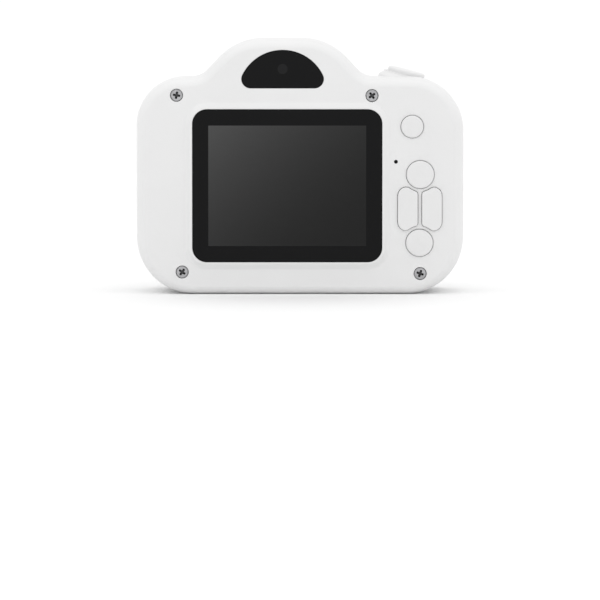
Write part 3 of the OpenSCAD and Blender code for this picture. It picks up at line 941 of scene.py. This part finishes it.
def lens_cone():
    """Profile of the cone, from inside the front wall, over the ring's seat, to the front face."""
    return rounded([
        (CONE_BASE_R - WALL, -INNER_FRONT_Y),
        (CONE_BASE_R - WALL, -FRONT_Y, 2),
        (CONE_TOP_R - WALL, FRONT_WALL_H, 0.3),
        (BEZEL_R + LENS_GAP, FRONT_WALL_H),
        (BEZEL_R + LENS_GAP, RING_SEAT_H),
        (FACE_R + LENS_GAP, RING_SEAT_H),
        (FACE_R + LENS_GAP, FACE_H, 0.22),
        (CONE_TOP_R, FACE_H, CONE_ROUND),
        (CONE_MID_R, CONE_MID_H, CONE_MID_ROUND),
        (CONE_BASE_R, -FRONT_Y, CONE_FILLET),
        (CONE_BASE_R + CONE_FILLET + 0.2, -FRONT_Y)], 9)


def front_shell():
    skin = Skin()
    outside = side_rings(SEAM_Y - SEAM_GAP, FRONT_Y + FRONT_EDGE[1], 6)
    outside += edge_rings(FRONT_Y, FRONT_EDGE)
    outer = [skin.loop(r) for r in outside]
    skin.skin_over(outer)
    cone_in, cone_out = skin.turn(lens_cone(), towards_front(HUMP_X, LENS_Z), 144)
    holes_out = [cone_out]
    slots_in = []
    for i, length in enumerate(SLOT_LENGTHS):
        x = SLOT_RIGHT_X - length / 2
        z = SLOT_TOP_Z - SLOT_PITCH * i
        edge = hole_edge(0.18, FRONT_Y, INNER_FRONT_Y)
        first, last = skin.sweep(lambda g: slot_shape(x, z, length, g), edge)
        holes_out.append(first)
        slots_in.append(last)
    swell_rings = []
    for k in range(SWELL_RINGS):
        r = CONE_BASE_R + 2 * CONE_FILLET + SWELL_STEP * k
        swell_rings += circle(HUMP_X, LENS_Z, r, 110)
    skin.plate(outer[-1], holes_out, FACE_GRID, swell_rings)
    raise_swell(skin)

    rim_y = SEAM_Y - LIP_LEN - LIP_CLEAR
    inside = [
        ring(SEAM_Y - SEAM_GAP, LIP_INSET - LIP_GAP),
        ring(rim_y, LIP_INSET - LIP_GAP),
        ring(rim_y, WALL),
        ring(INNER_FRONT_Y + FRONT_CORNER, WALL),
        ring(INNER_FRONT_Y, WALL + FRONT_CORNER)]
    inner = [skin.loop(r) for r in inside]
    skin.skin_over([outer[0], *inner])
    fence = [(FENCE_R[1], INNER_FRONT_Y), (FENCE_R[1], INNER_FRONT_Y + FENCE_H),
        (FENCE_R[0], INNER_FRONT_Y + FENCE_H), (FENCE_R[0], INNER_FRONT_Y)]
    fence_out, fence_in = skin.turn(fence, towards_back(SPEAKER.x, SPEAKER.z), 64)
    skin.plate(inner[-1], [cone_in, fence_out], INSIDE_GRID)
    skin.plate(fence_in, slots_in, 2.5)
    piece = plain_object("front_shell_moulding", skin, [WHITE])

    root_y = INNER_FRONT_Y - 0.6
    end_y = POST_END_Y - POST_GAP
    post = rounded([(0, root_y), (POST_R, root_y), (POST_R, end_y, 0.2),
        (POST_HOLE_R, end_y, 0.15), (POST_HOLE_R, 0), (0, 0)])
    combine(piece, "UNION", turned_at(SCREWS, post))
    collar = Skin()
    collar.turn(rounded([
        (0, -COLLAR_DEPTH), (COLLAR_R + 1.4, -COLLAR_DEPTH), (COLLAR_R + 1.0, -1.35),
        (COLLAR_R, -0.35, 0.7), (COLLAR_R, 0, 0.3), (0, 0)]), along_shutter, 96)
    combine(piece, "UNION", collar)
    bore = Skin()
    rim = [(g, -h) for g, h in hole_edge(0.2, 0, BORE_DEPTH, BORE_R)]
    bore.turn([(0, 1), (BORE_R + 1.2, 1), *rim, (0, -BORE_DEPTH)], along_shutter, 96)
    combine(piece, "DIFFERENCE", bore)
    drills = Skin()
    start, flare, end = HALF_W - LANYARD_DEPTH, HALF_W - 0.75, HALF_W + 1.2
    for z in LANYARD_Z:
        drills.turn([(0, start), (LANYARD_R, start), (LANYARD_R, flare), (LANYARD_R + 0.9, end), (0, end)],
            lambda r, a, h: (h, LANYARD_Y + r * cos(a), z + r * sin(a)), 32)
    combine(piece, "DIFFERENCE", drills)
    finish_piece(piece, "front_shell")


def turned_at(places, profile, steps=40):
    """The same turned solid at several places, pointing backwards."""
    skin = Skin()
    for p in places:
        skin.turn(profile, towards_back(p.x, p.z), steps)
    return skin


def raise_swell(skin):
    """Lifts the front face in a low round swell under the lens cone."""
    for i, (x, y, z) in enumerate(skin.points):
        r = hypot(x - HUMP_X, z - LENS_Z)
        if r > SWELL_R[1]:
            continue
        t = min(1, (SWELL_R[1] - r) / (SWELL_R[1] - SWELL_R[0]))
        if y > FRONT_Y:
            fade = max(0, (INNER_FRONT_Y - y) / WALL) ** 2
        else:
            fade = min(1, max(0, (y - FRONT_Y + CONE_FILLET + 2) / CONE_FILLET))
        skin.points[i] = (x, y - SWELL * t * t * (3 - 2 * t) * fade, z)


def screen_shape(grow):
    half_w = COVER_SIZE.x / 2 + grow
    half_h = COVER_SIZE.z / 2 + grow
    return rectangle(SCREEN.x, SCREEN.z, half_w, half_h, COVER_R + grow, 14)


def rear_shell():
    skin = Skin()
    outside = side_rings(SEAM_Y, BACK_Y - REAR_EDGE[1], 5)
    outside += edge_rings(BACK_Y, REAR_EDGE)
    inside = [
        ring(SEAM_Y, LIP_INSET),
        ring(SEAM_Y - LIP_LEN, LIP_INSET),
        ring(SEAM_Y - LIP_LEN, WALL),
        ring(INNER_BACK_Y - REAR_CORNER, WALL),
        ring(INNER_BACK_Y, WALL + REAR_CORNER)]
    loops = [skin.loop(r) for r in reversed(inside)] + [skin.loop(r) for r in outside]
    skin.skin_over(loops)
    inner, outer = loops[0], loops[-1]
    holes_out = []
    holes_in = []

    def through(ends):
        holes_out.append(ends[0])
        holes_in.append(ends[1])

    rim = rounded([
        (RIM_SLOPE + RIM_LIP + 0.5, BACK_Y),
        (RIM_SLOPE + RIM_LIP, BACK_Y, 1.2),
        (RIM_LIP, BACK_Y + RIM_H, 0.5),
        (GLASS_GAP, BACK_Y + RIM_H, 0.16),
        (GLASS_GAP, COVER_Y)], 6)
    rim_out, ledge = skin.sweep(screen_shape, rim)
    holes_out.append(rim_out)
    opening = rectangle(SCREEN.x, SCREEN.z, LCD_SIZE.x / 2 - 1.5, LCD_SIZE.z / 2 - 1.5, 1, 14)
    well = [skin.loop([(x, y, z) for x, z in opening]) for y in (COVER_Y, INNER_BACK_Y)]
    skin.skin_over([ledge, *well])
    holes_in.append(well[-1])

    hole_end = INNER_BACK_Y - 0.2
    post = [(BOARD_POST_R, INNER_BACK_Y), (BOARD_POST_R, BOARD_BACK_Y), (BOARD_HOLE_R, BOARD_BACK_Y),
        (BOARD_HOLE_R, hole_end), (0, hole_end)]
    for p in BOARD_SCREWS:
        holes_in.append(skin.turn(post, towards_back(p.x, p.z), 32)[0])
    for node in ("menu_key", "up_key", "down_key"):
        at = middle_mm(node)
        radius = round_key_radius(node) + KEY_GAP
        profile = hole_edge(KEY_RIM, BACK_Y, INNER_BACK_Y, radius)
        through(skin.turn(profile, towards_back(at.x, at.z), 72))
    for side in (-1, 1):
        outline = pad_outline(side)
        profile = hole_edge(KEY_RIM, BACK_Y, INNER_BACK_Y, KEY_GAP)
        through(skin.sweep(lambda g: grown(outline, g), profile))
    through(skin.turn(hole_edge(0.08, BACK_Y, INNER_BACK_Y, MIC_R), towards_back(MIC.x, MIC.z), 24))
    skin.plate(outer, holes_out, FACE_GRID)
    skin.plate(inner, holes_in, INSIDE_GRID)
    piece = plain_object("rear_shell_moulding", skin, [WHITE])
    bore_rear_shell(piece)
    finish_piece(piece, "rear_shell")


def bore_rear_shell(piece):
    """Adds the screw posts, then cuts their bores, the selfie window's recess and hole, and both mouths."""
    root_y = INNER_BACK_Y + 0.6
    post_r = POST_R + 0.4
    post = [(0, root_y), (post_r, root_y), (post_r, POST_END_Y), (0, POST_END_Y)]
    combine(piece, "UNION", turned_at(SCREWS, post))
    top_y = BACK_Y + 1
    seat_y = SCREW_HEAD_Y - SCREW_HEAD_T
    end_y = POST_END_Y - 1
    bore = [(0, top_y), (SCREW_HEAD_R + 1.4, top_y)]
    bore += hole_edge(0.15, BACK_Y, seat_y, SCREW_HEAD_R - 0.02)
    bore += [(SCREW_BORE_R, seat_y), (SCREW_BORE_R, end_y), (0, end_y)]
    combine(piece, "DIFFERENCE", turned_at(SCREWS, bore, 48))
    recess = Skin()
    rim = hole_edge(0.12, BACK_Y, BACK_Y - WINDOW_DEPTH, GLASS_GAP)
    for loop in recess.sweep(window_shape, [(1.3, top_y), *rim]):
        recess.plate(loop)
    combine(piece, "DIFFERENCE", recess)
    end_y = INNER_BACK_Y - 1
    sight = [(0, BACK_Y), (SIGHT_R, BACK_Y), (SIGHT_R, end_y), (0, end_y)]
    combine(piece, "DIFFERENCE", turned_at([Vector((HUMP_X, 0, SELFIE_Z))], sight))
    for place, mouth in ((USB, USB_MOUTH), (CARD, CARD_MOUTH)):
        combine(piece, "DIFFERENCE", side_mouth(place, mouth))


def side_mouth(place, mouth):
    """A long hole through the +X wall with its outer edge flared."""
    half = (mouth[0] - mouth[1]) / 2
    face_x = HALF_W - abs(place.y - SEAM_Y) * DRAFT
    cutter = Skin()
    loops = []
    flare = [(0, face_x - 0.35), (0.1, face_x - 0.12), (0.3, face_x + 0.02), (1.2, face_x + 0.9)]
    for grow, x in [(0, HALF_W - 6), *flare]:
        r = mouth[1] / 2 + grow
        flat = arc((0, half), r, 0, 180, 16) + arc((0, -half), r, 180, 360, 16)
        loops.append(cutter.loop([(x, place.y + y, place.z + z) for y, z in flat]))
    cutter.skin_over(loops)
    cutter.face(loops[0])
    cutter.face(loops[-1])
    return cutter


# ---- Lens ----


def lens():
    at = towards_front(HUMP_X, LENS_Z)
    top = RING_H
    ring_in = BEZEL_R + LENS_GAP
    turned_piece("lens_ring_plate", rounded([
        (ring_in, RING_SEAT_H), (FACE_R, RING_SEAT_H), (FACE_R, top, 0.1),
        (ring_in, top, 0.1), (ring_in, RING_SEAT_H)], 4),
        at, 144, RING_WHITE, "lens_face_ring")

    foot = FRONT_WALL_H + 0.1
    turned_piece("lens_funnel", rounded([
        (PUPIL_R, foot), (BEZEL_R, foot), (BEZEL_R, top, 0.1),
        (BEZEL_R - 0.4, top, 0.25), (PUPIL_R, FRONT_WALL_H + 0.7, 0.12),
        (PUPIL_R, foot)], 6),
        at, 144, RING_WHITE, "lens_bezel")

    w = FRONT_WALL_H
    seat = w - PANE_T - 0.1
    seat_r = PANE_R + 0.05
    turned_piece("lens_tube", rounded([
        (seat_r, w), (seat_r, seat), (PUPIL_R - 0.4, seat, 0.15),
        (PUPIL_R - 0.4, w - 2.5, 0.1), (PUPIL_R - 1.4, w - 2.5, 0.15), (PUPIL_R - 1.4, w - 4, 0.1),
        (PUPIL_R - 0.3, w - 4), (PUPIL_R - 0.3, TUBE_BACK_H), (TUBE_R, TUBE_BACK_H),
        (TUBE_R, w - 2), (TUBE_FLANGE_R, w - 2), (TUBE_FLANGE_R, w), (seat_r, w)], 4),
        at, 96, BLACK, "lens_barrel")

    back, front = w - PANE_T - 0.05, w - 0.05
    turned_piece("lens_front_pane", rounded([
        (0, back), (PANE_R, back, 0.1), (PANE_R, front, 0.1), (0, front)], 3),
        at, 96, CLEAR, "lens_window")

    low, high = box_mm("camera_lens")
    turned_piece("camera_lens_bead", lens_bead(size_mm("camera_lens").x / 2, -high.y, -low.y),
        at, 48, LENS_GLASS, "camera_lens")
    ring_marks()


def lens_bead(radius, base, top):
    """Profile of a small lens with a domed face."""
    side = base + 0.6 * (top - base)
    dome_r = (radius ** 2 + (top - side) ** 2) / (2 * (top - side))
    start = degrees(acos(radius / dome_r))
    return [(0, base), (radius, base)] + arc((0, top - dome_r), dome_r, start, 90, 8)[:-1] + [(0, top)]


def ring_marks():
    """Short printed scale marks in two arcs on the lens ring, in place of lettering."""
    skin = Skin()
    for start in MARK_STARTS:
        for i in range(MARKS):
            a = start + MARK_SPAN * i / (MARKS - 1)
            half, inner, outer = LONG_MARK if i % 5 == 1 else SHORT_MARK
            add_mark(skin, a - half, a + half, inner, outer)
    piece_of("lens_ring_marks", skin, [PRINT])


def add_mark(skin, start, end, inner, outer):
    """One mark: a thin curved slab that stands 0.03 mm out of the ring."""
    steps = 4
    flat = arc((HUMP_X, LENS_Z), outer, start, end, steps)
    flat += arc((HUMP_X, LENS_Z), inner, end, start, steps)
    low, high = [skin.loop([(x, -h, z) for x, z in flat]) for h in (RING_H - 0.02, RING_H + 0.03)]
    skin.bridge(low, high)
    n = len(flat)
    for k in range(steps):
        for loop in (high, low):
            skin.face((loop[k], loop[k + 1], loop[n - 2 - k], loop[n - 1 - k]))


# ---- Rear side ----


def screen_cover():
    skin = Skin()
    top = COVER_HIGH.y
    bottom, edge = skin.sweep(screen_shape, rounded([
        (0, COVER_Y), (0, top, 0.14), (-0.6, top)], 5))
    flat = rectangle(SCREEN.x, SCREEN.z, ACTIVE_W / 2, ACTIVE_H / 2, 0.1, 3)
    active = skin.loop([(x, top, z) for x, z in flat])
    skin.plate(edge, [active], 2.5)
    # The active area takes the screen material, whose tone carries a painted reflection
    skin.plate(active, spacing=2.5, slot=1)
    skin.plate(bottom, spacing=4)
    piece_of("screen_front", skin, [COVER_BLACK, SCREEN_PAINTED_SHEEN], "screen_cover")


def selfie_window():
    skin = Skin()
    bottom, edge = skin.sweep(window_shape, rounded([
        (0, WINDOW_LOW.y), (0, WINDOW_HIGH.y, 0.12), (-0.5, WINDOW_HIGH.y)], 5))
    hole = skin.loop([(x, WINDOW_HIGH.y, z) for x, z in circle(HUMP_X, SELFIE_Z, PEEPHOLE_R, 40)])
    skin.plate(edge, [hole], 2)
    skin.plate(hole, slot=1)
    skin.plate(bottom, spacing=3)
    piece_of("selfie_window_pane", skin, [WINDOW_BLACK, PEEPHOLE], "selfie_window")
    low, high = box_mm("selfie_lens")
    turned_piece("selfie_lens_bead", lens_bead(size_mm("selfie_lens").x / 2, low.y, high.y),
        towards_back(HUMP_X, SELFIE_Z), 48, LENS_GLASS, "selfie_lens")


def round_key_radius(node):
    return size_mm(node).x / 2 - FLANGE_GROW


def round_keys():
    for node in ("menu_key", "up_key", "down_key"):
        low, high = box_mm(node)
        at = middle_mm(node)
        r = round_key_radius(node)
        flange_y = low.y + FLANGE_T
        turned_piece(node + "_cap", rounded([
            (0, low.y), (r + FLANGE_GROW, low.y), (r + FLANGE_GROW, flange_y),
            (r, flange_y, 0.1), (r, high.y - 0.06, 0.45), (r * 0.5, high.y, 3), (0, high.y)], 7),
            towards_back(at.x, at.z), 72, KEY_WHITE, node, node)


def pad_keys():
    for side, node in ((1, "left_key"), (-1, "right_key")):
        low, high = box_mm(node)
        outline = pad_outline(side)
        skin = Skin()
        profile = rounded([(0, low.y), (0, high.y, 0.3), (-0.35, high.y)], 7)
        bottom, top = skin.sweep(lambda g: grown(outline, g), profile)
        skin.plate(top, spacing=1.1)
        skin.plate(bottom, spacing=2)
        piece = plain_object(node + "_cap", skin, [KEY_WHITE])
        tab = Skin()
        half_x, half_z = TAB_HALF
        x = (high.x if side > 0 else low.x) - side * half_x
        z = (low.z + high.z) / 2
        flange_y = low.y + FLANGE_T
        edges = [(-0.1, low.y), (0, low.y + 0.1), (0, flange_y - 0.1), (-0.1, flange_y)]
        for loop in tab.sweep(lambda g: rectangle(x, z, half_x + g, half_z + g, 0.3 + g, 4), edges):
            tab.plate(loop)
        combine(piece, "UNION", tab)
        finish_piece(piece, node, node)


def shutter():
    """The button's stem, its hidden flange, and its slightly dished cap."""
    low, high = SHUTTER_FLANGE
    turned_piece("shutter_cap", rounded([
        (0, SHUTTER_STEM_END), (SHUTTER_STEM_R, SHUTTER_STEM_END, 0.1), (SHUTTER_STEM_R, low),
        (SHUTTER_FLANGE_R, low, 0.1), (SHUTTER_FLANGE_R, high, 0.1), (SHUTTER_R, high),
        (SHUTTER_R, SHUTTER_PROUD, 0.7), (SHUTTER_R * 0.5, SHUTTER_PROUD - 0.04, 4),
        (0, SHUTTER_PROUD - 0.12)], 7),
        along_shutter, 96, WHITE, "shutter_button", "shutter_button")


def case_screws():
    """Four screws with plain rings for threads, each head with its cross recess turned its own way."""
    head_r = SCREW_HEAD_R - 0.07
    y = SCREW_HEAD_Y
    seat_y = y - SCREW_HEAD_T
    tip_y = seat_y - SHANK_LEN
    thread = []
    for k in range(THREAD_TURNS):
        thread.append((SHANK_R - THREAD_DEPTH * (k % 2), seat_y - THREAD_START + THREAD_STEP * k))
    profile = rounded([
        (0, tip_y), (0.3, tip_y + 0.1), *thread, (SHANK_R, seat_y), (head_r, seat_y),
        (head_r, y - 0.12, 0.3), (0.7, y, 0.4), (0, y)], 5)
    piece = plain_object("case_screw_set", turned_at(SCREWS, profile, 48), [STEEL])
    for place, turn in zip(SCREWS, SCREW_TURNS):
        for arm in range(2):
            # The recess walls take the darkened steel, as painted shade
            combine(piece, "DIFFERENCE", cross_arm(place, radians(turn + 90 * arm)), STEEL_PAINTED_SHADE)
    finish_piece(piece, "case_screws", crease=30)


def cross_arm(p, turn):
    """One arm of a cross recess: wide at the face and narrow below."""
    skin = Skin()
    loops = []
    for half_l, half_w, y in ((0.55, 0.2, SCREW_HEAD_Y - 0.9), (1.2, 0.36, SCREW_HEAD_Y + 0.5)):
        flat = rectangle(0, 0, half_l, half_w, half_w * 0.6, 4)
        c, s = cos(turn), sin(turn)
        loops.append(skin.loop([(p.x + u * c - v * s, y, p.z + u * s + v * c) for u, v in flat]))
    skin.skin_over(loops)
    skin.face(loops[0])
    skin.face(loops[1])
    return skin


def microphone_hole_painted_shade():
    """A near-black disc just inside the microphone's hole, as painted shade that darkens the hole."""
    back_y = BACK_Y - 0.4
    turned_piece("microphone_hole_painted_shade", rounded([
        (0, back_y), (MIC_R, back_y, 0.05), (MIC_R, BACK_Y - 0.08, 0.05), (0, BACK_Y - 0.05)], 3),
        towards_back(MIC.x, MIC.z), 24, COVER_BLACK)


# ---- Memory card ----


def memory_card():
    """A small card with a step and a latch notch on its upper edge, and gold contacts."""
    low, high = box_mm("memory_card")
    step_z = high.z - CARD_STEP_H
    latch_z = high.z - CARD_LATCH_H
    outline = [
        (low.x, low.z), (high.x, low.z), (high.x, high.z), (low.x + 9, high.z),
        (low.x + 8.2, step_z), (low.x + 6.6, step_z), (low.x + 6.6, latch_z),
        (low.x + 5.6, latch_z), (low.x + 5.0, step_z), (low.x, step_z)]
    path = [(x, z, CARD_CORNER) for x, z in outline]
    path = path[-1:] + path + path[:1]
    flat = [Vector(p) for p in rounded(path, 4)[1:-1]]
    skin = Skin()
    profile = [(-CARD_CHAMFER, low.y), (0, low.y + CARD_CHAMFER), (0, (low.y + high.y) / 2),
        (0, high.y - CARD_CHAMFER), (-CARD_CHAMFER, high.y)]
    for loop in skin.sweep(lambda g: grown(flat, g), profile):
        skin.plate(loop, spacing=2)
    for i in range(CARD_CONTACTS):
        pad = rectangle(low.x + 1.9, low.z + 1.3 + i * CARD_PITCH, 1.45, 0.36, 0.12, 3)
        loops = [skin.loop([(x, y, z) for x, z in pad]) for y in (low.y + 0.02, low.y - 0.02)]
        skin.skin_over(loops, 1)
        skin.face(loops[0], 1)
        skin.face(loops[1], 1)
    piece_of("memory_card_body", skin, [CARD_BLACK, GOLD], "memory_card", "memory_card")


# ---- Nodes that keep their shape ----

KEPT = {
    "camera_holder": BLACK, "camera_board": BOARD, "image_sensor": CHIP, "camera_flex": FLEX,
    "lcd_panel": LCD, "lcd_frame": TRAY, "lcd_flex": FLEX, "selfie_camera": BLACK, "selfie_flex": FLEX,
    "main_board": BOARD, "board_chips": CHIP, "key_switches": TIN, "shutter_board": BOARD,
    "shutter_switch": TIN, "microphone": TIN, "speaker": BLACK, "speaker_cone": CHIP,
    "speaker_wires": WIRE, "battery": FOIL, "battery_pad": FOAM, "battery_wires": WIRE,
    "usb_port": TIN, "card_socket": TIN, "board_screws": STEEL,
}


def dress_kept_nodes():
    for node, material in KEPT.items():
        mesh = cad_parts[node].data
        mesh.materials.clear()
        mesh.materials.append(material)


# ---- Stage, light and camera ----

# The picture is this wide at the object, and the object's middle sits this far above the picture's
PICTURE_W = 156.3
MIDDLE_RISE = 35.5
VIEW_ELEVATION = radians(3.5)
LENS_MM = 400
SENSOR_MM = 36
WORLD_LIGHT = 1.0
OVERHEAD_LIGHT = 0.6
OVERHEAD_SPREAD = radians(100)
OVERHEAD_TILT = radians(-8)
FLOOR_HALF_M = 12.0


def stage():
    world = bpy.data.worlds.new("studio")
    bpy.context.scene.world = world
    world.use_nodes = True
    sky = world.node_tree.nodes["Background"].inputs
    sky["Color"].default_value = grey(1.0)
    sky["Strength"].default_value = WORLD_LIGHT
    size = FLOOR_HALF_M
    mesh = bpy.data.meshes.new("floor")
    corners = [(-size, -size, 0), (size, -size, 0), (size, size, 0), (-size, size, 0)]
    mesh.from_pydata(corners, [], [(0, 1, 2, 3)])
    floor = placed("floor", mesh)
    n = Nodes("floor")
    n.colour(n.mix(n.noise(400, 2), grey(0.9), grey(0.92)))
    n.shader.inputs["Roughness"].default_value = 0.9
    mesh.materials.append(n.material)
    floor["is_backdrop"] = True


def lights():
    """One very wide lamp overhead, tipped a little to the viewer's side, as soft as a cloth canopy."""
    light = bpy.data.lights.new("overhead", "SUN")
    light.angle = OVERHEAD_SPREAD
    light.energy = OVERHEAD_LIGHT
    lamp = placed("overhead", light)
    lamp.rotation_euler = (OVERHEAD_TILT, 0, 0)


def camera():
    """Looks at the rear from slightly above, with the camera body high in a square picture."""
    low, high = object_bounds()
    target = Vector((0, 0, (low.z + high.z) / 2))
    distance = PICTURE_W * MM * LENS_MM / SENSOR_MM
    data = bpy.data.cameras.new("camera")
    data.lens = LENS_MM
    data.sensor_width = SENSOR_MM
    eye = target + distance * Vector((0, cos(VIEW_ELEVATION), sin(VIEW_ELEVATION)))
    aim = target - Vector((0, 0, MIDDLE_RISE * MM))
    cam = placed("camera", data)
    cam.location = eye
    cam.rotation_mode = "QUATERNION"
    cam.rotation_quaternion = (aim - eye).to_track_quat("-Z", "Y")
    bpy.context.scene.camera = cam


front_shell()
rear_shell()
lens()
screen_cover()
selfie_window()
round_keys()
pad_keys()
shutter()
case_screws()
microphone_hole_painted_shade()
memory_card()
dress_kept_nodes()
stage()
lights()
camera()
bpy.context.scene.view_settings.view_transform = "Standard"
